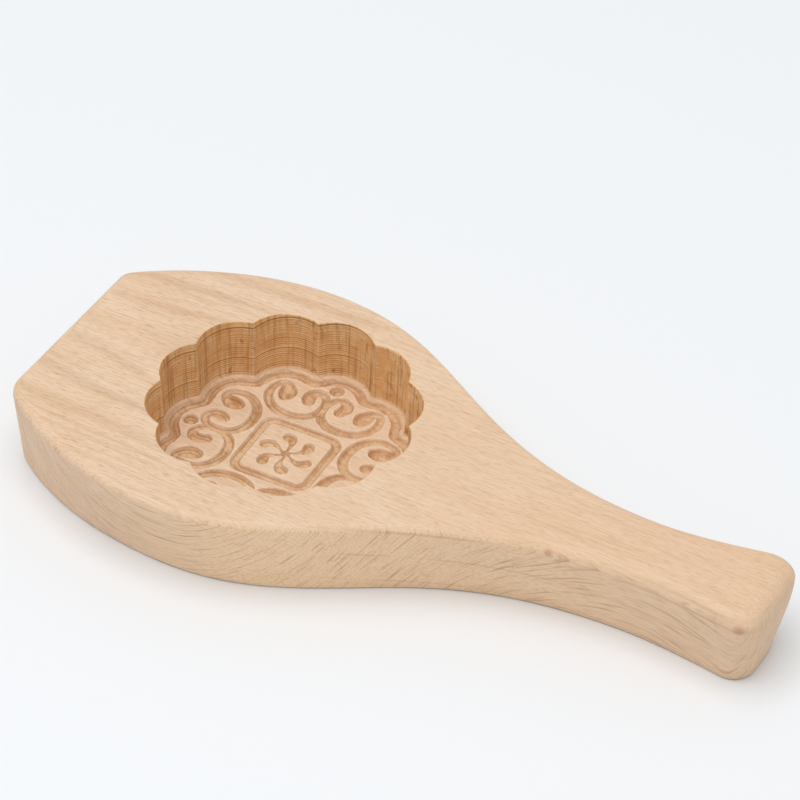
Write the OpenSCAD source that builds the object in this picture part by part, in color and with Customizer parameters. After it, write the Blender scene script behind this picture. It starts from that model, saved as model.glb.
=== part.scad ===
// Wooden mooncake mold: a paddle carved from one board, with a scalloped cavity in its head.
// The origin is under the middle of the board, on the surface that it lies on. The handle points
// along +X and the cavity opens upwards.

/* [Board] */
// Length from the flat end of the head to the end of the handle
board_length = 200; // [180:1:240]
// Width across the widest place of the head
board_width = 93; // [86:1:110]
// Thickness of the board
board_thickness = 25; // [23:0.5:32]

/* [Outline from above] */
// Half-width of the flat end, where each side would meet it without its rounded corner
flat_half = 26.5; // [24:0.5:32]
// Radius of the flat end's corner on the +Y side
left_corner = 1.5; // [1:0.5:8]
// Radius of the flat end's corner on the -Y side
right_corner = 3; // [1:0.5:10]
// Angle at which the sides leave the flat end
flat_angle = 43; // [35:1:60]
// Reach of the side's curve where it leaves the flat end
flat_reach = 7.5; // [6:0.5:16]
// Distance of the widest place from the flat end
widest_at = 53; // [46:1:60]
// Reach of the curve from the widest place towards the flat end
widest_reach_back = 26.5; // [15:0.5:30]
// Reach of the curve from the widest place towards the handle
widest_reach_fore = 42; // [30:1:50]
// Distance of the narrowest place of the handle from its end
grip_at = 34.5; // [26:0.5:45]
// Half-width of the handle at its narrowest place
grip_half = 10.4; // [9:0.1:14]
// Reach of the curve from the narrowest place towards the head
grip_reach_back = 61; // [40:1:66]
// Reach of the curve from the narrowest place towards the end of the handle
grip_reach_fore = 10.5; // [8:0.5:20]
// Half-width of the handle's end, where each side would meet it without its rounded corner
tail_half = 14.8; // [14.5:0.1:20]
// Radius of the corners of the handle's end
tail_corner = 7; // [4:0.5:7.5]
// How far the handle's end leans aside from the long axis
handle_aside = 3; // [0:0.25:4]

/* [Edges] */
// Radius of the rounded top edge round the head
top_round = 1.8; // [1:0.1:3]
// Radius of the rounded top edge at the flat end
flat_round = 2.3; // [1:0.1:3]
// Radius of the rounded top edge round the handle
grip_round = 3.5; // [1:0.1:4.5]
// Radius of the rounded lower edge
base_round = 0.8; // [0.4:0.1:1.2]
// How far the sides of the head taper in by the underside
side_draw = 6; // [2:0.2:7]
// How far the sides taper in by the underside at the flat end
flat_draw = 3.3; // [1:0.1:6]
// How far the sides of the handle taper in by the underside
grip_draw = 4.6; // [2:0.2:5.2]
// How far the handle's end tapers in by the underside
tail_draw = 3.8; // [1:0.2:6]

/* [Cavity] */
// Distance of the cavity's centre from the flat end
cavity_at = 62.75; // [60:0.25:68]
// Distance of the cavity's centre from the long axis
cavity_aside = 2.25; // [0:0.25:3]
// Diameter of the cavity across the tips of its lobes, at the rim
cavity_diameter = 70; // [62:1:72]
// Number of lobes in the scalloped wall
lobe_count = 12; // [10:1:14]
// How far the tip of a lobe stands out past the cusps beside it
lobe_rise = 2.75; // [1.8:0.05:3]
// Depth of the flat floor below the rim
floor_depth = 17.3; // [12:0.1:18]
// How far the wall leans in on its way to the floor
wall_lean = 0.9; // [0.3:0.1:1.5]

/* [Carving in the floor] */
// Depth of the carved grooves below the floor
groove_depth = 2.2; // [1:0.1:2.6]
// Width of the grooves of the frame and the scrolls
groove_width = 2.4; // [1.6:0.1:2.8]
// Width of the ledge between the wall and the wavy ring
ledge_width = 1.2; // [0.6:0.1:1.6]
// Width of the wavy ring that follows the lobes
ring_width = 2.4; // [1.6:0.1:2.8]
// Half-width of the square frame, to the middle of its groove
frame_half = 10.1; // [9:0.1:10.6]
// Radius of the frame's corners, at the middle of its groove
frame_corner = 2.8; // [1.8:0.1:4]
// Number of petals in the pinwheel
petal_count = 6; // [4:1:8]
// Angle of the pinwheel's first petal
petal_turn = -9; // [-30:1:30]
// Distance of a petal's round head from the pinwheel's centre
petal_at = 6.1; // [5:0.1:6.5]
// Radius of a petal's round head
petal_radius = 1.3; // [0.8:0.1:1.5]
// Radius of the pinwheel's hub
hub_radius = 1.2; // [0.8:0.1:1.5]
// Distance of the scrolls' bowls from the cavity's centre, along the middle of each side
bowl_at = 20.4; // [20:0.1:21]
// Distance of each bowl from the middle of its pair
bowl_aside = 7.1; // [6.8:0.1:7.4]
// Radius of a bowl, to the middle of its groove
bowl_radius = 6.7; // [6.2:0.1:6.9]
// Radius of the round ends that curl into a bowl
curl_radius = 2.5; // [1.8:0.1:2.6]
// Distance of each side's dot from the cavity's centre
dot_at = 27.4; // [26.5:0.1:28]
// Radius of the dots
dot_radius = 1.8; // [1:0.1:2.2]

/* [Hidden] */

flat_x = -board_length / 2;
tail_x = board_length / 2;
widest_x = flat_x + widest_at;
grip_x = tail_x - grip_at;
side_half = board_width / 2;
cavity_x = flat_x + cavity_at;
floor_z = board_thickness - floor_depth;

// Distance past the middle of the board over which its edges change from the head's to the handle's,
// and distance from the flat end over which they change from its own to the head's
edge_change = 70;
flat_change = 50;

// Steps along each stretch of the outline, up each stretch of the edge, and round each lobe
end_steps = 14;
neck_steps = 12;
grip_steps = 12;
round_steps = 4;
base_steps = 3;
lobe_steps = 8;

// Overlap that carries a cut clear of the face it opens in
clear = 1;

// How far the floor's plain disc reaches past the places where lobes and round cusps join
join_overlap = 0.2;

// Lobes are circles about the cavity's centre: their distance from it and their radius at the rim
lobe_turn = 360 / lobe_count;
rim_tip = cavity_diameter / 2;
rim_cusp = rim_tip - lobe_rise;
lobe_at = (rim_tip ^ 2 - rim_cusp ^ 2) / (2 * (rim_tip - rim_cusp * cos(lobe_turn / 2)));
lobe_radius = rim_tip - lobe_at;

// The same lobes where the wall meets the floor, and the cusps between them
foot_radius = lobe_radius - wall_lean;
foot_cusp = cusp_distance(foot_radius);

wood = [0.87, 0.72, 0.55];

$fn = 96;

function quadratic(a, b, c, t) = (1 - t) ^ 2 * a + 2 * t * (1 - t) * b + t ^ 2 * c;
function cubic(a, b, c, d, t) = (1 - t) * quadratic(a, b, c, t) + t * quadratic(b, c, d, t);

// How far from the cavity's centre two lobes of the given radius meet
function cusp_distance(radius) =
    lobe_at * cos(lobe_turn / 2) + sqrt(radius ^ 2 - (lobe_at * sin(lobe_turn / 2)) ^ 2);

// What a round corner takes off a side, at a distance from the end that it turns into
function corner_cut(from_end, radius) =
    let (u = min(1, max(0, 1 - from_end / radius))) radius * (1 - sqrt(1 - u ^ 2));

// One side of the top outline, from the flat end to the end of the handle, as three smooth curves.
// Steps crowd towards the ends, where the corners turn.
head_curve = [for (i = [0 : end_steps])
    cubic([flat_x, flat_half],
          [flat_x, flat_half] + flat_reach * [cos(flat_angle), sin(flat_angle)],
          [widest_x - widest_reach_back, side_half],
          [widest_x, side_half], (i / end_steps) ^ 2)];
neck_curve = [for (i = [1 : neck_steps - 1])
    cubic([widest_x, side_half],
          [widest_x + widest_reach_fore, side_half],
          [grip_x - grip_reach_back, grip_half],
          [grip_x, grip_half], i / neck_steps)];
grip_curve = [for (i = [0 : grip_steps])
    quadratic([grip_x, grip_half],
              [grip_x + grip_reach_fore, grip_half],
              [tail_x, tail_half], 1 - (1 - i / grip_steps) ^ 2)];
side_curve = concat(head_curve, neck_curve, grip_curve);
side_count = len(side_curve);

// A point of that side with the corners taken off both ends
function cornered(p, flat_corner) =
    [p.x, p.y - corner_cut(p.x - flat_x, flat_corner) - corner_cut(tail_x - p.x, tail_corner)];

// How far a place is on its way from the head's edges to the handle's or to the flat end's, from 0 to 1 in
// a smooth step
function smooth_step(t) = let (u = min(1, max(0, t))) u ^ 2 * (3 - 2 * u);
function to_grip(x) = smooth_step(x / edge_change);
function to_flat(x) = 1 - smooth_step((x - flat_x) / flat_change);
function round_at(x) =
    top_round + (grip_round - top_round) * to_grip(x) + (flat_round - top_round) * to_flat(x);
function draw_at(x) = side_draw + (grip_draw - side_draw) * to_grip(x) + (flat_draw - side_draw) * to_flat(x);

// How far the middle line leans aside, more and more from the widest place to the end of the handle
function lean_at(x) = handle_aside * (max(0, x - widest_x) / (tail_x - widest_x)) ^ 2;

// A point of the edge on one side, 1 or -1, drawn in at the side and at the ends
function edge_point(p, side, inset, end_inset, z) =
    [p.x * (1 - 2 * end_inset / board_length), lean_at(p.x) + side * (p.y - inset), z];

// A point of the lower edge, a quarter circle that leads into the straight taper of the side
function base_point(p, side, turn) =
    let (inset = base_round * (1 - cos(turn)), z = base_round * (1 - sin(turn)),
         taper = 1 - z / (board_thickness - round_at(p.x)))
    edge_point(p, side, inset + taper * draw_at(p.x), inset + (p.x > 0 ? taper * tail_draw : 0), z);

// A point of the top edge, a quarter circle that ends the taper
function top_point(p, side, turn) =
    let (radius = round_at(p.x), inset = radius * (1 - cos(turn)))
    edge_point(p, side, inset, inset, board_thickness - radius * (1 - sin(turn)));

// The way round the board, along the +Y side and back along the -Y side
edge_walk = concat([for (p = side_curve) [cornered(p, left_corner), 1]],
                   [for (i = [side_count - 1 : -1 : 0]) [cornered(side_curve[i], right_corner), -1]]);

// Closed outlines of the board, from the underside up
edge_rings = concat(
    [for (i = [0 : base_steps]) [for (w = edge_walk) base_point(w[0], w[1], 90 * (1 - i / base_steps))]],
    [for (i = [0 : round_steps]) [for (w = edge_walk) top_point(w[0], w[1], 90 * i / round_steps)]]);

// Triangles that close a clockwise outline, as indices into it. The strip joins the two long sides of
// the board, and the fan goes round a middle point that follows the outline's own points.
function strip_cap(count) = [for (i = [0 : count / 2 - 2])
    each [[i, i + 1, count - 1 - i], [i + 1, count - 2 - i, count - 1 - i]]];
function fan_cap(count) = [for (i = [0 : count - 1]) [i, (i + 1) % count, count]];

// A solid through a stack of outlines with equal counts, from the lowest to the highest. Each outline
// runs clockwise as seen from above through its first points, and cap closes the lowest and the highest.
module loft(outlines, count, cap) {
    stride = len(outlines[0]);
    last = (len(outlines) - 1) * stride;
    sides = [for (low = [0 : stride : last - stride], i = [0 : count - 1])
        let (j = (i + 1) % count, high = low + stride)
        each [[low + i, high + j, high + i], [low + i, low + j, high + j]]];
    lowest = [for (t = cap) [t[2], t[1], t[0]]];
    highest = [for (t = cap) t + last * [1, 1, 1]];
    polyhedron(points = [for (outline = outlines) each outline], faces = concat(sides, lowest, highest));
}

// The whole board before carving
module board() {
    loft(edge_rings, 2 * side_count, strip_cap(2 * side_count));
}

// Places copies of a shape at each lobe
module at_lobes(turn = 0) {
    for (i = [0 : lobe_count - 1]) {
        rotate(turn + i * lobe_turn) children();
    }
}

// The scalloped wall's outline at one height, as arcs between the cusps, and then its middle point
function wall_ring(radius, z) =
    let (cusp = cusp_distance(radius),
         reach = atan2(cusp * sin(lobe_turn / 2), cusp * cos(lobe_turn / 2) - lobe_at))
    [for (i = [0 : lobe_count - 1], j = [0 : lobe_steps - 1])
        let (lobe = -i * lobe_turn, arc = lobe + reach * (1 - 2 * j / lobe_steps))
        [lobe_at * cos(lobe) + radius * cos(arc), lobe_at * sin(lobe) + radius * sin(arc), z],
     [0, 0, z]];

// The hollow that shapes the cake: a scalloped wall that leans in from the rim to the floor
module hollow() {
    lean = wall_lean / floor_depth;
    count = lobe_count * lobe_steps;
    loft([wall_ring(foot_radius, floor_z),
          wall_ring(lobe_radius + lean * clear, board_thickness + clear)], count, fan_cap(count));
}

// Outline of the floor, drawn in evenly from the wall: the lobes shrink and the cusps become round
module floor_outline(inset) {
    cusp = [foot_cusp * cos(lobe_turn / 2), foot_cusp * sin(lobe_turn / 2)];
    away = (cusp - [lobe_at, 0]) / foot_radius;
    difference() {
        union() {
            circle(r = norm(cusp - inset * away) + join_overlap);
            at_lobes() {
                translate([lobe_at, 0]) circle(r = foot_radius - inset);
            }
        }
        at_lobes(lobe_turn / 2) {
            translate([foot_cusp, 0]) circle(r = inset);
        }
    }
}

// Wavy ring that follows the lobes inside the ledge
module wavy_ring() {
    difference() {
        floor_outline(ledge_width);
        floor_outline(ledge_width + ring_width);
    }
}

module rounded_square(half, radius) {
    square([2 * half, 2 * (half - radius)], center = true);
    square([2 * (half - radius), 2 * half], center = true);
    for (x = [-1, 1], y = [-1, 1]) {
        translate([x, y] * (half - radius)) circle(r = radius);
    }
}

module square_frame() {
    difference() {
        rounded_square(frame_half + groove_width / 2, frame_corner + groove_width / 2);
        rounded_square(frame_half - groove_width / 2, frame_corner - groove_width / 2);
    }
}

module pinwheel() {
    circle(r = hub_radius);
    for (i = [0 : petal_count - 1]) {
        rotate(petal_turn + i * 360 / petal_count) {
            translate([petal_at, 0]) circle(r = petal_radius);
            polygon([[0, 0], [petal_at, -petal_radius], [petal_at, 0]]);
        }
    }
}

// One bowl of a scroll, with a round curl at each end of it
module bowl() {
    outer = bowl_radius + groove_width / 2;
    intersection() {
        difference() {
            circle(r = outer);
            circle(r = outer - groove_width);
        }
        translate([-outer, -outer]) square([2 * outer, outer]);
    }
    for (side = [-1, 1]) {
        translate([side * (outer - curl_radius), 0]) circle(r = curl_radius);
    }
}

// A mirrored pair of bowls and a dot for each side of the frame
module scrolls() {
    for (quarter = [0 : 3]) {
        rotate(90 * quarter) {
            for (side = [-1, 1]) {
                translate([side * bowl_aside, bowl_at]) bowl();
            }
            translate([0, dot_at]) circle(r = dot_radius);
        }
    }
}

// All the grooves below the floor
module carving() {
    translate([0, 0, floor_z - groove_depth]) {
        linear_extrude(groove_depth + clear) {
            wavy_ring();
            square_frame();
            pinwheel();
            scrolls();
        }
    }
}

module mold() {
    color(wood) {
        difference() {
            board();
            translate([cavity_x, cavity_aside, 0]) {
                hollow();
                carving();
            }
        }
    }
}

mold();
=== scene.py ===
"""A wooden mooncake mold in sanded beech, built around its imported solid.

The board's edge is a profile carried along its outline, the cavity's wall is a profile carried round the
scalloped rim, and the carved floor is a height over a square grid that is bent to a disc. Lengths are in
millimetres, in the solid's own frame, until the mesh is made in metres.
"""

import bpy
import numpy as np
from mathutils import Matrix, Vector


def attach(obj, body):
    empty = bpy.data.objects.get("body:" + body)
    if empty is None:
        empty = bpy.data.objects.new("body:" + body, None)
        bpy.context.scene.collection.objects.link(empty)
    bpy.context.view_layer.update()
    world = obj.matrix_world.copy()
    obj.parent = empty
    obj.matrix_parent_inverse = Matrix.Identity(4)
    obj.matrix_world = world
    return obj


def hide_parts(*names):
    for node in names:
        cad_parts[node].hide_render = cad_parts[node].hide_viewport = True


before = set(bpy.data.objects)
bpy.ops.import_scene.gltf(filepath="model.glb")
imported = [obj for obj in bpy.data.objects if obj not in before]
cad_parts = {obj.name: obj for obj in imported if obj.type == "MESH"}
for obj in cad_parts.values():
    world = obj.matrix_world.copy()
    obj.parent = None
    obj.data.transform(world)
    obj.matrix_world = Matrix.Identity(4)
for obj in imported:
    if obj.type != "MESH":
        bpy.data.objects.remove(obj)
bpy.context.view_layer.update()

# The board and its outline, as in the solid
LENGTH = 200.0
WIDTH = 93.0
THICKNESS = 25.0
FLAT_HALF = 26.5
LEFT_CORNER = 1.5
RIGHT_CORNER = 3.0
FLAT_ANGLE = 43.0
FLAT_REACH = 7.5
WIDEST_AT = 53.0
WIDEST_REACH_BACK = 26.5
WIDEST_REACH_FORE = 42.0
GRIP_AT = 34.5
GRIP_HALF = 10.4
GRIP_REACH_BACK = 61.0
GRIP_REACH_FORE = 10.5
TAIL_HALF = 14.8
TAIL_CORNER = 7.0
HANDLE_ASIDE = 3.0
TOP_ROUND = 1.8
FLAT_ROUND = 2.3
GRIP_ROUND = 3.5
BASE_ROUND = 0.8
SIDE_DRAW = 6.0
FLAT_DRAW = 3.3
GRIP_DRAW = 4.6
TAIL_DRAW = 3.8
EDGE_CHANGE = 70.0
FLAT_CHANGE = 50.0

# The handle's end bows back towards its top, which softens the edge there
TAIL_BOW = 1.8
TAIL_BOW_FROM = 14.0
TAIL_BOW_LENGTH = 25.0

# The cavity, as in the solid, with the softened edges that a cutter and sandpaper leave
CAVITY_AT = 62.75
CAVITY_ASIDE = 2.25
RIM_TIP = 35.0
LOBES = 12
LOBE_RISE = 2.75
FLOOR_DEPTH = 17.3
WALL_LEAN = 0.9
RIM_ROUND = 0.3
CUSP_SOFT = 0.3
FOOT_FILLET = 0.9

# The carving in the floor, which was set a little off the cavity's centre and turned
PATTERN_X = 0.05
PATTERN_Y = 0.55
PATTERN_TURN = 2.0
GROOVE_DEPTH = 2.3
LEDGE_WIDTH = 1.3
RING_WIDTH = 2.7
FRAME_HALF = 10.2
FRAME_CORNER = 2.9
FRAME_WIDTH = 2.6
PETALS = 6
PETAL_TURN = -11.0
HUB_RADIUS = 1.25
DOT_AT = 27.5
DOT_RADIUS = 2.0

# How the cuts look: wide grooves are darkest, by their depth and by a fuller tint that paints shade, and
# each edge has a painted highlight outside and a painted shade line inside
GROOVE_FULL = 1.6
CUT_BLEND = 0.3
NARROW_CUT = 0.8
WIDE_FROM = 1.3
LEDGE_CUT = 0.15
EDGE_HIGHLIGHT = 0.8
CREST_FLOOR = 0.25
CUSP_HIGHLIGHT = 0.3
HIGHLIGHT_AT = 0.15
EDGE_SHADE_AT = 0.3
EDGE_SHADE_FROM = 0.7
EDGE_SHADE_BLEND = 0.4
LINE_WIDTH = 0.25
CUSP_WIDTH = 0.35

# The wood: its pith, a dark layer of growth, and two pin knots in the front side, each with its reach
PITH_ASIDE = 6.5
PITH_ABOVE = 200.0
STREAK_DEPTH = 23.4
PIN_KNOTS = (((95.2, -10.3, 21.2), 2.3), ((44.4, -10.8, 22.7), 1.7))

FLAT_X = -LENGTH / 2
TAIL_X = LENGTH / 2
WIDEST_X = FLAT_X + WIDEST_AT
GRIP_X = TAIL_X - GRIP_AT
FLOOR_Z = THICKNESS - FLOOR_DEPTH
CAVITY_X = FLAT_X + CAVITY_AT
LOBE_HALF_TURN = np.pi / LOBES
RIM_CUSP = RIM_TIP - LOBE_RISE
LOBE_AT = (RIM_TIP**2 - RIM_CUSP**2) / (2 * (RIM_TIP - RIM_CUSP * np.cos(LOBE_HALF_TURN)))
LOBE_RADIUS = RIM_TIP - LOBE_AT

# Steps of the meshes: points along each side of the board, cells across the floor, and levels of the edge
# and of the wall. A flat ring of RING_REACH borders the top at its edge and at the rim
SIDE_POINTS = 360
FLOOR_CELLS = 240
RIM_POINTS = 4 * FLOOR_CELLS
BASE_STEPS = 5
SIDE_STEPS = 10
TOP_STEPS = 10
RIM_STEPS = 5
WALL_STEPS = 10
SIDE_FROM = 2.0
SIDE_TO = 20.0
RING_REACH = 0.2
CURVE_STEPS = 1200
PATH_STEPS = 6
SHARP_ANGLE = 38.0


def bezier(controls, t):
    """Bezier curve: neighbouring control points are blended by t again and again until one is left."""
    level = np.array(controls, float)[:, None, :]
    while len(level) > 1:
        level = level[:-1] + (level[1:] - level[:-1]) * t[None, :, None]
    return level[0]


def corner_cut(from_end, radius):
    """What a round corner takes off a side: r - sqrt(r^2 - (r - d)^2) at a distance d from the end."""
    u = np.clip(1 - from_end / radius, 0, 1)
    return radius * (1 - np.sqrt(1 - u**2))


def side_outline(count, flat_corner):
    """One side seen from above, from the flat end to the handle's end, at even steps along it.

    Three Bezier curves meet at the widest place and at the narrowest, and a round corner is taken off
    each end.
    """
    t = np.linspace(0, 1, CURVE_STEPS)
    lean = np.radians(FLAT_ANGLE)
    start = np.array([FLAT_X, FLAT_HALF])
    widest = np.array([WIDEST_X, WIDTH / 2])
    grip = np.array([GRIP_X, GRIP_HALF])
    head_curve = bezier(
        [start, start + FLAT_REACH * np.array([np.cos(lean), np.sin(lean)]),
         widest - [WIDEST_REACH_BACK, 0], widest], t**2)
    neck_curve = bezier(
        [widest, widest + [WIDEST_REACH_FORE, 0], grip - [GRIP_REACH_BACK, 0], grip], t)
    grip_curve = bezier([grip, grip + [GRIP_REACH_FORE, 0], [TAIL_X, TAIL_HALF]], 1 - (1 - t)**2)
    x, y = np.concatenate([head_curve, neck_curve[1:], grip_curve[1:]]).T
    y = y - corner_cut(x - FLAT_X, flat_corner) - corner_cut(TAIL_X - x, TAIL_CORNER)
    run = np.concatenate([[0], np.cumsum(np.hypot(np.diff(x), np.diff(y)))])
    even = np.linspace(0, run[-1], count)
    return np.interp(even, run, x), np.interp(even, run, y)


def smooth_step(t):
    """From 0 to 1 as t does, level at both ends: u^2 (3 - 2 u)."""
    u = np.clip(t, 0, 1)
    return u**2 * (3 - 2 * u)


def board_edge():
    """The board's edge as rings of points, from the underside up: a profile carried along the outline.

    A small quarter circle leads from the underside into the straight taper of the side, and a larger one
    ends it at the top. Both the taper and the top's radius change from the flat end's to the head's, and
    from those to the handle's, in a smooth step. Each level draws the sides in by its inset and the ends
    by their own. The handle's end also bows back with the square of the height past TAIL_BOW_FROM. A last
    ring lies just inside the top edge, so that the flat top stays flat to the eye. The middle line leans
    aside with the square of the way from the widest place to the handle's end. Also how upright each place
    is, from 0 on the level to 1 on the sides.
    """
    front_x, front_y = side_outline(SIDE_POINTS, RIGHT_CORNER)
    back_x, back_y = side_outline(SIDE_POINTS, LEFT_CORNER)
    x = np.concatenate([front_x, back_x[::-1]])
    half = np.concatenate([front_y, back_y[::-1]])
    side = np.repeat([-1.0, 1.0], SIDE_POINTS)
    to_grip = smooth_step(x / EDGE_CHANGE)
    to_flat = 1 - smooth_step((x - FLAT_X) / FLAT_CHANGE)
    radius = TOP_ROUND + (GRIP_ROUND - TOP_ROUND) * to_grip + (FLAT_ROUND - TOP_ROUND) * to_flat
    draw = SIDE_DRAW + (GRIP_DRAW - SIDE_DRAW) * to_grip + (FLAT_DRAW - SIDE_DRAW) * to_flat
    end_draw = np.where(x > 0, TAIL_DRAW, 0.0)
    middle = HANDLE_ASIDE * ((x - WIDEST_X).clip(0) / (TAIL_X - WIDEST_X))**2
    base = np.radians(np.linspace(90, 0, BASE_STEPS))[:, None]
    side_z = np.linspace(SIDE_FROM, SIDE_TO, SIDE_STEPS)[:, None]
    low_z = np.concatenate([BASE_ROUND * (1 - np.sin(base)), side_z])
    low_cut = np.concatenate([BASE_ROUND * (1 - np.cos(base)), np.zeros((SIDE_STEPS, 1))])
    taper = 1 - low_z / (THICKNESS - radius)
    top = np.radians(np.linspace(0, 90, TOP_STEPS))[:, None]
    top_cut = np.concatenate([radius * (1 - np.cos(top)), radius[None, :] + RING_REACH])
    top_z = np.concatenate([THICKNESS - radius * (1 - np.sin(top)), np.full((1, x.size), THICKNESS)])
    inset = np.concatenate([low_cut + taper * draw, top_cut])
    end_inset = np.concatenate([low_cut + taper * end_draw, top_cut])
    height = np.concatenate([np.repeat(low_z, x.size, axis=1), top_z])
    upright = np.concatenate([np.cos(base), np.ones((SIDE_STEPS, 1)), np.cos(top), np.zeros((1, 1))])
    bow = TAIL_BOW * ((height - TAIL_BOW_FROM).clip(0) / (THICKNESS - TAIL_BOW_FROM))**2
    along = x * (1 - 2 * end_inset / LENGTH) - bow * smooth_step((x - TAIL_X) / TAIL_BOW_LENGTH + 1)
    points = np.stack([along, middle + side * (half - inset), height], axis=-1)
    return points, np.repeat(upright, x.size, axis=1)


def fold(turn, half):
    """Angle from the middle of the nearest of equal sectors, each of twice the given half angle."""
    return (turn + half) % (2 * half) - half


def scallop(turn, radius):
    """Distance of the scalloped wall from the cavity's centre, in each direction.

    It is where a ray leaves the nearest lobe, a circle of the given radius at LOBE_AT. The angle from the
    cusp goes through sqrt(a^2 + s^2), which rounds the cusp slightly.
    """
    from_cusp = LOBE_HALF_TURN - np.abs(fold(turn, LOBE_HALF_TURN))
    aside = LOBE_HALF_TURN - np.hypot(from_cusp, CUSP_SOFT / RIM_CUSP)
    return LOBE_AT * np.cos(aside) + np.sqrt(radius**2 - (LOBE_AT * np.sin(aside))**2)


def rim_turns():
    """Directions of the rim's points, evenly round from the grid's first corner."""
    return np.radians(-135) + np.arange(RIM_POINTS) * 2 * np.pi / RIM_POINTS


def cavity_wall():
    """Rim and wall as rings of points, from the top down: a profile carried round the scalloped rim.

    A ring lies just outside the rim, a small quarter circle turns over it, and the wall leans in evenly
    as it goes down to the fillet at its foot.
    """
    turn = rim_turns()
    over = np.radians(np.linspace(0, 90, RIM_STEPS))
    depth = np.linspace(RIM_ROUND, FLOOR_DEPTH - FOOT_FILLET, WALL_STEPS + 2)[1:-1]
    radius = np.concatenate(
        [[LOBE_RADIUS + RING_REACH], LOBE_RADIUS - RIM_ROUND * np.sin(over),
         LOBE_RADIUS - RIM_ROUND - (WALL_LEAN - RIM_ROUND) * depth / FLOOR_DEPTH])
    height = THICKNESS - np.concatenate([[0], RIM_ROUND * (1 - np.cos(over)), depth])
    distance = scallop(turn[None, :], radius[:, None])
    return np.stack([CAVITY_X + distance * np.cos(turn), CAVITY_ASIDE + distance * np.sin(turn),
                     np.repeat(height[:, None], RIM_POINTS, axis=1)], axis=-1)


def smooth_path(points):
    """A smooth curve through the points, by Catmull-Rom blending, with PATH_STEPS places from each to the
    next."""
    p = np.array(points, float)
    p = np.concatenate([[2 * p[0] - p[1]], p, [2 * p[-1] - p[-2]]])
    t = np.linspace(0, 1, PATH_STEPS, endpoint=False)[None, :, None]
    a, b, c, d = (p[i:len(p) - 3 + i, None, :] for i in range(4))
    curve = b + 0.5 * t * (c - a + t * (2 * a - 5 * b + 4 * c - d + t * (3 * (b - c) + d - a)))
    return np.concatenate([curve.reshape(-1, p.shape[1]), p[-2:-1]])


def stroke(x, y, path):
    """How deep each place lies in a carved stroke: the most, over discs along a path of (x, y, half-width),
    of the disc's half-width less the distance from its middle. Also that as a share of the half-width."""
    gap = np.hypot(x[..., None] - path[:, 0], y[..., None] - path[:, 1])
    return (path[:, 2] - gap).max(-1), (1 - gap / path[:, 2]).max(-1)


def wall_distance(x, y, radius):
    """Distance of each place on the floor from the scalloped wall: to the nearest lobe's circle, or to a
    cusp where the lobe's arc doesn't face the place."""
    turn = np.abs(fold(np.arctan2(y, x), LOBE_HALF_TURN))
    away = np.hypot(x, y)
    px, py = away * np.cos(turn), away * np.sin(turn)
    cusp = scallop(LOBE_HALF_TURN, radius)
    cusp_x, cusp_y = cusp * np.cos(LOBE_HALF_TURN), cusp * np.sin(LOBE_HALF_TURN)
    facing = np.arctan2(py, px - LOBE_AT) <= np.arctan2(cusp_y, cusp_x - LOBE_AT)
    return np.where(facing, radius - np.hypot(px - LOBE_AT, py), np.hypot(px - cusp_x, py - cusp_y))


def scroll_path():
    """Middle line of one scroll: a round head, an arm round a bowl, the stem, and a curl that hooks back.

    The points are (across, out, half-width), from the middle of one side of the pattern.
    """
    return smooth_path(
        [(10.8, 19.9, 2.0), (11.0, 21.3, 2.5), (11.7, 23.0, 1.9), (12.9, 24.4, 1.2), (14.4, 24.0, 1.1),
         (15.3, 21.8, 1.15), (15.3, 19.2, 1.25), (14.2, 16.8, 1.3), (11.8, 14.7, 1.4), (8.5, 13.7, 1.45),
         (5.2, 13.8, 1.45), (2.4, 15.0, 1.35), (0.8, 17.0, 1.2), (0.3, 19.6, 1.1), (0.5, 22.2, 1.1),
         (1.6, 24.2, 1.15), (3.5, 24.9, 1.35), (5.0, 23.7, 1.7), (5.2, 22.0, 1.9), (4.6, 20.5, 1.7)])


def petal_path():
    """Middle line of one petal of the pinwheel, a comma: a thin tail from the hub, and a round head that
    bends to the left. The points are (out, aside, half-width)."""
    return smooth_path(
        [(1.2, -0.15, 0.45), (2.6, -0.65, 0.55), (4.1, -1.0, 0.9), (5.4, -0.75, 1.35), (6.2, -0.1, 1.55),
         (6.4, 0.4, 1.45)])


def carving(x, y, radius):
    """Depth into the carving at each place of the floor, in millimetres from the nearest groove's edge and
    as a share of that groove's half-width; both are below 0 on the uncut floor."""
    rows = []
    ring = np.abs(wall_distance(x, y, radius) - LEDGE_WIDTH - RING_WIDTH / 2)
    turn = np.radians(PATTERN_TURN)
    x, y = x - PATTERN_X, y - PATTERN_Y
    x, y = x * np.cos(turn) + y * np.sin(turn), y * np.cos(turn) - x * np.sin(turn)
    rows.append((RING_WIDTH / 2 - ring, 1 - ring / (RING_WIDTH / 2)))
    # Rounded square: distance from its line is that from a smaller square, less the corner's radius
    qx, qy = np.abs(x) - FRAME_HALF + FRAME_CORNER, np.abs(y) - FRAME_HALF + FRAME_CORNER
    line = np.abs(np.hypot(qx.clip(0), qy.clip(0)) + np.maximum(qx, qy).clip(max=0) - FRAME_CORNER)
    rows.append((FRAME_WIDTH / 2 - line, 1 - line / (FRAME_WIDTH / 2)))
    # One side of the pattern stands for all four, and one scroll for both of a pair
    quarter = fold(np.arctan2(y, x), np.pi / 4)
    away = np.hypot(x, y)
    across, out = away * np.sin(quarter), away * np.cos(quarter)
    rows.append(stroke(across, out, scroll_path()))
    rows.append(stroke(-across, out, scroll_path()))
    rows.append(stroke(across, out, np.array([[0, DOT_AT, DOT_RADIUS]])))
    petal = fold(np.arctan2(y, x) - np.radians(PETAL_TURN), np.pi / PETALS)
    rows.append(stroke(away * np.cos(petal), away * np.sin(petal), petal_path()))
    rows.append((HUB_RADIUS - away, 1 - away / HUB_RADIUS))
    return np.max([r[0] for r in rows], axis=0), np.max([r[1] for r in rows], axis=0)


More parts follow.
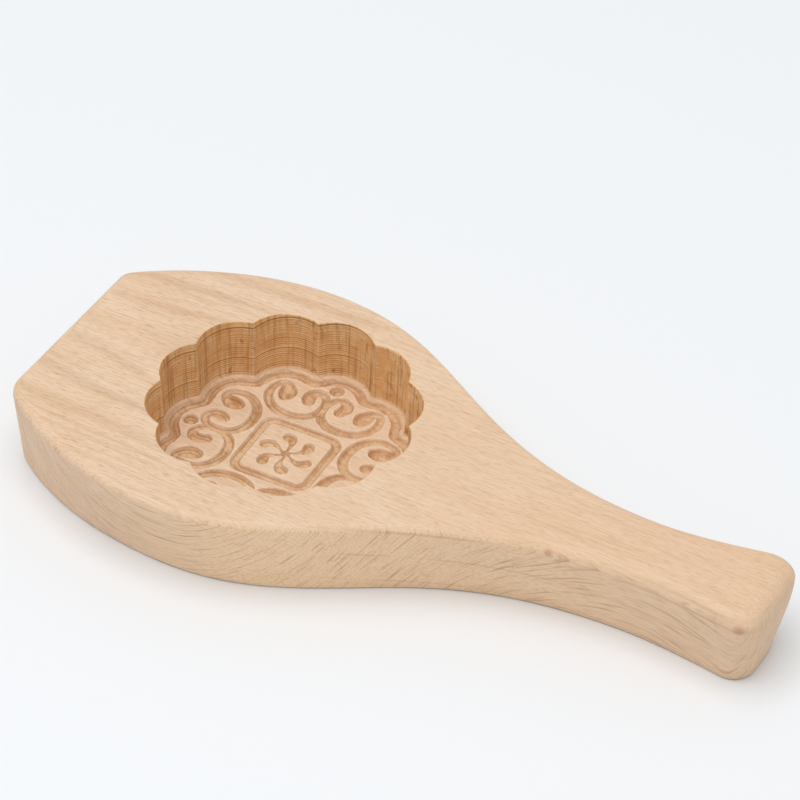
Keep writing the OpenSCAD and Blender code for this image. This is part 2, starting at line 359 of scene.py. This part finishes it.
def carved_floor():
    """The floor as a square grid bent to a disc, with its outer ring on the wall's foot.

    A place at (u, v) goes to the radius max(|u|, |v|) and to the angle that its square ring gives it, then
    out by the scalloped outline. Its height is the floor, plus a fillet at the wall, less the grooves.
    Their section is round, (1 - (1 - share)^2)^0.7, and wider ones are deeper, by 1 - exp(-(w / full)^1.5).
    Also how far each place is cut, with a fuller tint in wide grooves that paints shade; the uncut floor,
    which is paler; a painted highlight on the grooves' edges; and painted shade in lines just inside them.
    """
    u, v = np.meshgrid(np.linspace(-1, 1, FLOOR_CELLS + 1), np.linspace(-1, 1, FLOOR_CELLS + 1))
    reach = np.maximum(np.abs(u), np.abs(v))
    wide = np.abs(u) >= np.abs(v)
    long_side = np.where(wide, u, v)
    slant = np.pi / 4 * np.where(wide, v, -u) / np.where(long_side == 0, 1, long_side)
    turn = slant + np.where(wide, 0, np.pi / 2) + np.where(long_side < 0, np.pi, 0)
    foot = LOBE_RADIUS - WALL_LEAN
    away = reach * scallop(turn, foot)
    x, y = away * np.cos(turn), away * np.sin(turn)
    into, share = carving(x, y, foot)
    from_wall = wall_distance(x, y, foot)
    gap = (FOOT_FILLET - from_wall).clip(0, FOOT_FILLET)
    fillet = FOOT_FILLET - np.sqrt(FOOT_FILLET**2 - gap**2)
    half_width = into.clip(0) / share.clip(0.05)
    deepest = GROOVE_DEPTH * (1 - np.exp(-(half_width / GROOVE_FULL)**1.5))
    groove = deepest * (1 - (1 - share.clip(0, 1))**2)**0.7
    points = np.stack([CAVITY_X + x, CAVITY_ASIDE + y, FLOOR_Z + fillet - groove], axis=-1)
    # Wide grooves take a fuller tint than narrow ones, which paints shade in their depth
    cut_and_deep_shade = NARROW_CUT + (1 - NARROW_CUT) * np.clip(half_width - WIDE_FROM, 0, 1)
    cut = np.maximum(np.clip(into / CUT_BLEND, 0, 1) * cut_and_deep_shade, LEDGE_CUT * (from_wall < LEDGE_WIDTH))
    # Painted highlight along each groove's edge; the uncut floor is also paler
    edge_highlight = EDGE_HIGHLIGHT * np.exp(-((into + HIGHLIGHT_AT) / LINE_WIDTH)**2)
    highlight_and_pale_floor = np.maximum(edge_highlight, CREST_FLOOR * (into < 0)) * (from_wall > LEDGE_WIDTH + 1)
    # Painted shade: a dark line just inside the edges of the wider grooves
    edge_shade = np.exp(-((into - EDGE_SHADE_AT) / LINE_WIDTH)**2) * np.clip((half_width - EDGE_SHADE_FROM) / EDGE_SHADE_BLEND, 0, 1)
    return points, cut, highlight_and_pale_floor, edge_shade


def grid_quads(index, closed):
    """Quads over a grid of vertex numbers; a closed grid joins each row's last place to its first."""
    if closed:
        index = np.concatenate([index, index[:, :1]], axis=1)
    return np.stack([index[:-1, :-1], index[:-1, 1:], index[1:, 1:], index[1:, :-1]], -1).reshape(-1, 4)


def carved_board():
    """The whole mold as one closed mesh: edge, flat top and underside, wall and carved floor."""
    edge, upright = board_edge()
    wall = cavity_wall()
    floor, cut, highlight_and_pale_floor, edge_shade = carved_floor()
    edge_index = np.arange(upright.size).reshape(upright.shape)
    wall_index = edge_index.size + np.arange(wall[..., 0].size).reshape(wall.shape[:2])
    floor_index = edge_index.size + wall_index.size + np.arange(cut.size).reshape(cut.shape)
    foot = np.concatenate([floor_index[0, :-1], floor_index[:-1, -1],
                           floor_index[-1, :0:-1], floor_index[:0:-1, 0]])
    wall_rows = np.concatenate([wall_index, foot[None, :]])
    quads = np.concatenate([grid_quads(edge_index, True), grid_quads(wall_rows, True),
                            grid_quads(floor_index, False)])
    # The flat top is two faces, parted by a line from the flat end to the rim and one from the rim to the
    # handle's end; the underside is one face
    top, rim = edge_index[-1], wall_index[0]
    towards_handle, towards_flat = RIM_POINTS * 3 // 8, RIM_POINTS * 7 // 8
    rim_front = np.concatenate([rim[towards_handle::-1], rim[:towards_flat - 1:-1]])
    rim_back = rim[towards_flat:towards_handle - 1:-1]
    front = np.concatenate([top[:SIDE_POINTS], rim_front])
    back = np.concatenate([top[SIDE_POINTS - 1:], top[:1], rim_back])
    faces = quads.tolist() + [front.tolist(), back.tolist(), edge_index[0, ::-1].tolist()]
    points = np.concatenate([edge.reshape(-1, 3), wall.reshape(-1, 3), floor.reshape(-1, 3)])
    mesh = bpy.data.meshes.new("carved_board")
    mesh.from_pydata((points / 1000).tolist(), [], faces)
    mesh.validate()
    # The wall is cut all over below its rounded rim, and its cusps carry a faint painted highlight
    off_edge, off_wall, off_floor = (np.zeros(i.size) for i in (edge_index, wall_index, floor_index))
    level = np.arange(len(wall))
    walled = np.repeat(level > RIM_STEPS // 2, RIM_POINTS)
    at_foot = np.isin(floor_index, foot).ravel()
    from_cusp = RIM_CUSP * (LOBE_HALF_TURN - np.abs(fold(rim_turns(), LOBE_HALF_TURN)))
    cusp_highlight = np.outer(level > RIM_STEPS, CUSP_HIGHLIGHT * np.exp(-(from_cusp / CUSP_WIDTH)**2))
    for name, parts in (("upright", (upright.ravel(), off_wall, off_floor)),
                        ("wall_cut", (off_edge, walled, at_foot)),
                        ("floor_cut", (off_edge, off_wall, cut.ravel())),
                        ("highlight_and_pale_floor", (off_edge, cusp_highlight.ravel(), highlight_and_pale_floor.ravel())),
                        ("edge_shade", (off_edge, off_wall, edge_shade.ravel()))):
        values = np.concatenate(parts).astype(np.float32)
        mesh.attributes.new(name, "FLOAT", "POINT").data.foreach_set("value", values)
    mesh.polygons.foreach_set("use_smooth", np.ones(len(mesh.polygons), bool))
    mesh.set_sharp_from_angle(angle=np.radians(SHARP_ANGLE))
    board = bpy.data.objects.new("carved_board", mesh)
    bpy.context.collection.objects.link(board)
    return board


def linear(code):
    """Linear colour from an sRGB hex value, with alpha 1."""
    s = np.array([int(code[i:i + 2], 16) for i in (1, 3, 5)]) / 255
    return (*np.where(s <= 0.04045, s / 12.92, ((s + 0.055) / 1.055)**2.4).tolist(), 1.0)


def add(tree, kind, inputs, **settings):
    """Adds a node: settings are its own properties, and inputs gives sockets a value or what feeds them."""
    node = tree.nodes.new(kind)
    for name, value in settings.items():
        setattr(node, name, value)
    for key, value in inputs.items():
        if isinstance(value, bpy.types.NodeSocket):
            tree.links.new(value, node.inputs[key])
        else:
            node.inputs[key].default_value = value
    return node


def beech_sanded():
    """Steamed beech, sanded and left without varnish, with routed cuts.

    To the eye: pale peach with fine lines along the grain, short brown dashes where its rays are cut
    across, and the same rays as thin slanting strokes on the sides. Routed faces are darker, and show the
    layers of growth as a fine grid with the rays.
    """
    material = bpy.data.materials.new("beech_sanded")
    material.use_nodes = True
    tree = material.node_tree
    tree.nodes.clear()
    place = add(tree, "ShaderNodeTexCoord", {}).outputs["Object"]
    mm = add(tree, "ShaderNodeVectorMath", {0: place, "Scale": 1000.0}, operation="SCALE").outputs[0]
    # Grain wanders a millimetre or two over about 90 mm of length
    slow = add(tree, "ShaderNodeMapping", {0: mm, "Scale": (1 / 90, 1 / 45, 1 / 45)}).outputs[0]
    drift = add(tree, "ShaderNodeTexNoise", {"Vector": slow, "Scale": 1.0, "Detail": 1.0}).outputs["Color"]
    wander = add(tree, "ShaderNodeVectorMath", {0: drift, 1: (0.0, 4.0, 1.2), 2: mm},
                 operation="MULTIPLY_ADD").outputs[0]
    axes = add(tree, "ShaderNodeSeparateXYZ", {0: wander})
    x, y, z = axes.outputs[0], axes.outputs[1], axes.outputs[2]
    # The pith is 200 mm above the board: rays lean towards it, so their place across grows with height
    aside = add(tree, "ShaderNodeMath", {0: y, 1: PITH_ASIDE}, operation="SUBTRACT").outputs[0]
    spread = add(tree, "ShaderNodeMath", {0: z, 1: 1 / PITH_ABOVE, 2: 1.0},
                 operation="MULTIPLY_ADD").outputs[0]
    across = add(tree, "ShaderNodeMath", {0: aside, 1: spread}, operation="MULTIPLY").outputs[0]
    grain = add(tree, "ShaderNodeCombineXYZ", {0: x, 1: across, 2: z}).outputs[0]
    # Layers of growth are shells about the pith, tilted a little along the board. They come every 0.65 mm
    # in uneven strength, and fade towards the handle
    square = add(tree, "ShaderNodeMath", {0: aside, 1: aside}, operation="MULTIPLY").outputs[0]
    shell = add(tree, "ShaderNodeMath", {0: square, 1: -0.5 / PITH_ABOVE, 2: z},
                operation="MULTIPLY_ADD").outputs[0]
    depth = add(tree, "ShaderNodeMath", {0: x, 1: 0.011, 2: shell}, operation="MULTIPLY_ADD").outputs[0]
    uneven = add(tree, "ShaderNodeTexNoise", {"W": depth, "Scale": 1 / 1.6, "Detail": 1.0},
                 noise_dimensions="1D").outputs[0]
    paced = add(tree, "ShaderNodeMath", {0: uneven, 1: 0.8, 2: depth}, operation="MULTIPLY_ADD").outputs[0]
    phase = add(tree, "ShaderNodeMath", {0: paced, 1: 2 * np.pi / 0.65}, operation="MULTIPLY").outputs[0]
    wave = add(tree, "ShaderNodeMath", {0: phase}, operation="COSINE").outputs[0]
    layers = add(tree, "ShaderNodeMapRange", {0: wave, 1: 0.1, 2: 1.0}).outputs[0]
    strength = add(tree, "ShaderNodeMapRange", {0: uneven, 1: 0.4, 2: 0.62, 3: 0.45}).outputs[0]
    late = add(tree, "ShaderNodeMath", {0: layers, 1: strength}, operation="MULTIPLY").outputs[0]
    fade = add(tree, "ShaderNodeMapRange", {0: x, 1: -42.0, 2: -20.0, 3: 1.0, 4: 0.18},
               interpolation_type="SMOOTHSTEP").outputs[0]
    late = add(tree, "ShaderNodeMath", {0: late, 1: fade}, operation="MULTIPLY").outputs[0]
    # One dark layer comes out at the top of the head, as a streak on each side, and fades at the cavity
    from_streak = add(tree, "ShaderNodeMath", {0: depth, 1: STREAK_DEPTH}, operation="SUBTRACT").outputs[0]
    from_streak = add(tree, "ShaderNodeMath", {0: from_streak}, operation="ABSOLUTE").outputs[0]
    streak = add(tree, "ShaderNodeMapRange", {0: from_streak, 1: 0.25, 2: 0.0, 4: 0.26},
                 interpolation_type="SMOOTHSTEP").outputs[0]
    head_end = add(tree, "ShaderNodeMapRange", {0: x, 1: -75.0, 2: -45.0, 3: 1.0, 4: 0.0},
                   interpolation_type="SMOOTHSTEP").outputs[0]
    streak = add(tree, "ShaderNodeMath", {0: streak, 1: head_end}, operation="MULTIPLY").outputs[0]
    # Patterns of noise, each with the size of its cells in millimetres: along the board, across and upright
    noise = {}
    for name, where, cell, detail in (
            # Rays: thin ribbons along the board and upright, drawn about 0.3 mm thick so that they show
            ("ray", grain, (2.6, 0.28, 30.0), 1.0),
            # Rows of them, which run on for 14 mm along the board: longer slanting strokes on the sides
            ("rows", grain, (14.0, 0.32, 8.0), 1.0),
            # The cutter shows them as upright lines on the wall and as specks in the grooves
            ("stub", wander, (0.8, 0.8, 60.0), 2.0),
            # Fibres, drawn about 0.3 mm wide so that they show
            ("fibre", grain, (10.0, 0.3, 0.3), 2.0),
            # Soft mottling over some 14 mm across the grain, and narrower warm streaks
            ("patch", grain, (45.0, 14.0, 14.0), 2.0),
            ("warm", grain, (50.0, 4.0, 4.0), 1.0),
            # The cutter's burnish, in patches of a few millimetres
            ("burnish", mm, (4.0, 4.0, 4.0), 2.0),
            # Brown flecks in the cuts, about a millimetre across and a few millimetres long
            ("fleck", mm, (4.0, 1.4, 3.0), 2.0)):
        cells = add(tree, "ShaderNodeMapping", {0: where, "Scale": [1 / size for size in cell]}).outputs[0]
        noise[name] = add(tree, "ShaderNodeTexNoise",
                          {"Vector": cells, "Scale": 1.0, "Detail": detail}).outputs[0]
    ray = add(tree, "ShaderNodeMapRange", {0: noise["ray"], 1: 0.52, 2: 0.74}).outputs[0]
    rows = add(tree, "ShaderNodeMapRange", {0: noise["rows"], 1: 0.56, 2: 0.75}).outputs[0]
    stub = add(tree, "ShaderNodeMapRange", {0: noise["stub"], 1: 0.5, 2: 0.75}).outputs[0]
    burnish = add(tree, "ShaderNodeMapRange", {0: noise["burnish"], 1: 0.35, 2: 0.65}).outputs[0]
    wall_tint = add(tree, "ShaderNodeMix", {0: burnish, 6: linear("#F2CD9A"), 7: linear("#E6B57A")},
                    data_type="RGBA").outputs[2]
    floor_tint = add(tree, "ShaderNodeMix", {0: burnish, 6: linear("#E1BF97"), 7: linear("#CEA375")},
                     data_type="RGBA").outputs[2]
    upright, wall_cut, floor_cut, highlight_and_pale_floor, edge_shade = (
        add(tree, "ShaderNodeAttribute", {}, attribute_name=name).outputs["Fac"]
        for name in ("upright", "wall_cut", "floor_cut", "highlight_and_pale_floor", "edge_shade"))
    cut = add(tree, "ShaderNodeMath", {0: wall_cut, 1: floor_cut}, operation="MAXIMUM").outputs[0]
    # The handle is a little darker than the head
    head = add(tree, "ShaderNodeMapRange", {0: x, 1: -20.0, 2: 60.0, 3: 1.0, 4: 0.6}).outputs[0]
    pale = add(tree, "ShaderNodeMath", {0: noise["patch"], 1: head}, operation="MULTIPLY").outputs[0]
    colour = add(tree, "ShaderNodeMix", {0: pale, 6: linear("#DFBE9D"), 7: linear("#EDD4BA")},
                 data_type="RGBA").outputs[2]
    # Painted light: the sides are a little brighter than the top, most of all from the middle of the head to
    # the neck
    bright = add(tree, "ShaderNodeMapRange", {0: x, 1: -65.0, 2: -25.0}).outputs[0]
    side = add(tree, "ShaderNodeMapRange", {0: upright, 1: 0.6}).outputs[0]
    side_light = add(tree, "ShaderNodeMath", {0: side, 1: bright}, operation="MULTIPLY").outputs[0]
    bright = add(tree, "ShaderNodeMapRange", {0: x, 1: 0.0, 2: 90.0, 3: 1.0, 4: 0.0}).outputs[0]
    side_light = add(tree, "ShaderNodeMath", {0: side_light, 1: bright}, operation="MULTIPLY").outputs[0]
    warm_fac = add(tree, "ShaderNodeMapRange", {0: noise["warm"], 1: 0.5, 2: 0.75, 4: 0.16}).outputs[0]
    # Few flecks on the wall, more of them towards the handle, and most in the grooves
    wall_from = add(tree, "ShaderNodeMapRange", {0: x, 1: -45.0, 2: -20.0, 3: 0.66, 4: 0.56}).outputs[0]
    fleck_from = add(tree, "ShaderNodeMapRange", {0: floor_cut, 3: wall_from, 4: 0.52}).outputs[0]
    fleck = add(tree, "ShaderNodeMapRange", {0: noise["fleck"], 1: fleck_from, 2: 0.73, 4: 0.7}).outputs[0]
    fleck_fac = add(tree, "ShaderNodeMath", {0: fleck, 1: cut}, operation="MULTIPLY").outputs[0]
    fibre_fac = add(tree, "ShaderNodeMapRange", {0: noise["fibre"], 1: 0.45, 2: 0.75, 4: 0.62}).outputs[0]
    layer_share = add(tree, "ShaderNodeMapRange", {0: cut, 3: 0.14, 4: 0.92}).outputs[0]
    late_fac = add(tree, "ShaderNodeMath", {0: late, 1: layer_share}, operation="MULTIPLY").outputs[0]
    # Dashes on the top, fainter towards the handle and on the sides, where the long rows and some broken
    # layers of growth show
    ray_share = add(tree, "ShaderNodeMapRange", {0: upright, 2: 0.5, 3: 0.4, 4: 0.12}).outputs[0]
    ray_fac = add(tree, "ShaderNodeMath", {0: ray, 1: ray_share}, operation="MULTIPLY").outputs[0]
    fainter = add(tree, "ShaderNodeMapRange", {0: x, 1: -60.0, 2: 20.0, 3: 1.0, 4: 0.75}).outputs[0]
    ray_fac = add(tree, "ShaderNodeMath", {0: ray_fac, 1: fainter}, operation="MULTIPLY").outputs[0]
    uncut = add(tree, "ShaderNodeMath", {0: 1.0, 1: cut}, operation="SUBTRACT").outputs[0]
    ray_fac = add(tree, "ShaderNodeMath", {0: ray_fac, 1: uncut}, operation="MULTIPLY").outputs[0]
    row_share = add(tree, "ShaderNodeMapRange", {0: upright, 1: 0.8, 4: 0.45}).outputs[0]
    row_fac = add(tree, "ShaderNodeMath", {0: rows, 1: row_share}, operation="MULTIPLY").outputs[0]
    ring = add(tree, "ShaderNodeMapRange", {0: uneven, 1: 0.58, 2: 0.7, 4: 0.3}).outputs[0]
    broken = add(tree, "ShaderNodeMapRange", {0: noise["patch"], 1: 0.42, 2: 0.62}).outputs[0]
    ring = add(tree, "ShaderNodeMath", {0: ring, 1: broken}, operation="MULTIPLY").outputs[0]
    ring_fac = add(tree, "ShaderNodeMath", {0: ring, 1: upright}, operation="MULTIPLY").outputs[0]
    stub_share = add(tree, "ShaderNodeMath", {0: floor_cut, 1: 0.42}, operation="MULTIPLY").outputs[0]
    stub_share = add(tree, "ShaderNodeMath", {0: wall_cut, 1: 0.6, 2: stub_share},
                     operation="MULTIPLY_ADD").outputs[0]
    stub_fac = add(tree, "ShaderNodeMath", {0: stub, 1: stub_share}, operation="MULTIPLY").outputs[0]
    # The pale crest tint is a painted highlight on groove edges and wall cusps, and a paler tone on the
    # uncut floor
    highlight_fac = add(tree, "ShaderNodeMath", {0: highlight_and_pale_floor, 1: 0.5}, operation="MULTIPLY").outputs[0]
    # The rub tint is painted shade: dark lines just inside the grooves' edges
    edge_shade_share = add(tree, "ShaderNodeMapRange", {0: burnish, 3: 0.0, 4: 0.32}).outputs[0]
    edge_shade_fac = add(tree, "ShaderNodeMath", {0: edge_shade, 1: edge_shade_share}, operation="MULTIPLY").outputs[0]
    # Each tint is laid over those before it; the sides' brighter tint is painted light, the dark line inside
    # the grooves' edges is painted shade, and the pale crest tint is a painted highlight
    for share, tint in ((wall_cut, wall_tint), (floor_cut, floor_tint), (side_light, linear("#F1D1AD")),
                        (warm_fac, linear("#DBA676")), (streak, linear("#A97F58")),
                        (ring_fac, linear("#B58A5C")), (fibre_fac, linear("#C9A47F")),
                        (late_fac, linear("#98642F")), (ray_fac, linear("#94673C")),
                        (row_fac, linear("#9A6C40")), (stub_fac, linear("#8E5A2A")),
                        (fleck_fac, linear("#A8682F")), (edge_shade_fac, linear("#A06A3A")),
                        (highlight_fac, linear("#F8E4CC"))):
        colour = add(tree, "ShaderNodeMix", {0: share, 6: colour, 7: tint}, data_type="RGBA").outputs[2]
    for place, knot_reach in PIN_KNOTS:
        away = add(tree, "ShaderNodeVectorMath", {0: mm, 1: place}, operation="DISTANCE").outputs["Value"]
        knot = add(tree, "ShaderNodeMapRange", {0: away, 1: knot_reach, 2: 0.3, 4: 0.42},
                   interpolation_type="SMOOTHSTEP").outputs[0]
        colour = add(tree, "ShaderNodeMix", {0: knot, 6: colour, 7: linear("#9C5A3C")},
                     data_type="RGBA").outputs[2]
    relief = add(tree, "ShaderNodeBump",
                 {"Strength": 0.3, "Distance": 0.0001, "Height": noise["fibre"]}).outputs[0]
    wood = add(tree, "ShaderNodeBsdfPrincipled",
               {"Base Color": colour, "Roughness": 0.6, "IOR": 1.45, "Normal": relief}).outputs[0]
    add(tree, "ShaderNodeOutputMaterial", {"Surface": wood})
    return material


def photo_camera():
    """A long lens at the photograph's place: it looks down by 40 degrees, from in front and to the right."""
    azimuth, elevation, roll = np.radians([28.751, 40.513, 1.353])
    distance = 1.050031
    back = np.array([np.sin(azimuth) * np.cos(elevation), -np.cos(azimuth) * np.cos(elevation),
                     np.sin(elevation)])
    right = np.array([np.cos(azimuth), np.sin(azimuth), 0])
    up = np.cross(back, right)
    aim_right, aim_up = -0.002796, 0.024094
    target = np.array([0, 0, 0.012]) + aim_right * right + aim_up * up
    data = bpy.data.cameras.new("camera")
    data.sensor_fit = "HORIZONTAL"
    data.sensor_width = 36.0
    data.lens = 190.947
    data.clip_end = 20.0
    camera = bpy.data.objects.new("camera", data)
    turned_right = np.cos(roll) * right + np.sin(roll) * up
    turned_up = np.cos(roll) * up - np.sin(roll) * right
    columns = np.column_stack([turned_right, turned_up, back, target + distance * back])
    camera.matrix_world = Matrix([*columns.tolist(), [0, 0, 0, 1]])
    bpy.context.collection.objects.link(camera)
    bpy.context.scene.camera = camera


def studio():
    """Plain pale floor, a broad soft lamp above, and even light from all round."""
    half, level = 3.0, -0.0001
    mesh = bpy.data.meshes.new("floor")
    mesh.from_pydata([(-half, -half, level), (half, -half, level), (half, half, level),
                      (-half, half, level)], [], [(0, 1, 2, 3)])
    floor = bpy.data.objects.new("floor", mesh)
    bpy.context.collection.objects.link(floor)
    material = bpy.data.materials.new("matt_white_board")
    material.use_nodes = True
    shader = material.node_tree.nodes["Principled BSDF"]
    shader.inputs["Base Color"].default_value = linear("#EEF2F7")
    shader.inputs["Roughness"].default_value = 0.9
    mesh.materials.append(material)
    lamp = bpy.data.lights.new("soft_lamp", "AREA")
    lamp.size = 1.2
    lamp.energy = 11.9
    soft_lamp = bpy.data.objects.new("soft_lamp", lamp)
    # The lamp's own -Z axis points from its place down to the mold
    stand = Vector((-0.08, -0.35, 1.45))
    soft_lamp.matrix_world = Matrix.Translation(stand) @ stand.to_track_quat("Z", "Y").to_matrix().to_4x4()
    bpy.context.collection.objects.link(soft_lamp)
    world = bpy.data.worlds.new("studio")
    world.use_nodes = True
    tree = world.node_tree
    tree.nodes.clear()
    path = add(tree, "ShaderNodeLightPath", {})
    seen = add(tree, "ShaderNodeMath", {0: path.outputs["Is Camera Ray"], 1: path.outputs["Is Glossy Ray"]},
               operation="MAXIMUM").outputs[0]
    seen = add(tree, "ShaderNodeMath", {0: seen, 1: path.outputs["Is Transmission Ray"]},
               operation="MAXIMUM").outputs[0]
    light = add(tree, "ShaderNodeBackground", {0: linear("#FAF8F4"), 1: 0.66}).outputs[0]
    white = add(tree, "ShaderNodeBackground", {0: linear("#F2F4F8"), 1: 1.0}).outputs[0]
    both = add(tree, "ShaderNodeMixShader", {0: seen, 1: light, 2: white}).outputs[0]
    add(tree, "ShaderNodeOutputWorld", {0: both})
    bpy.context.scene.world = world


photo_camera()
studio()
board = carved_board()
board.data.materials.append(beech_sanded())
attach(board, "root")
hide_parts("mold")

bpy.context.scene.view_settings.view_transform = "Standard"
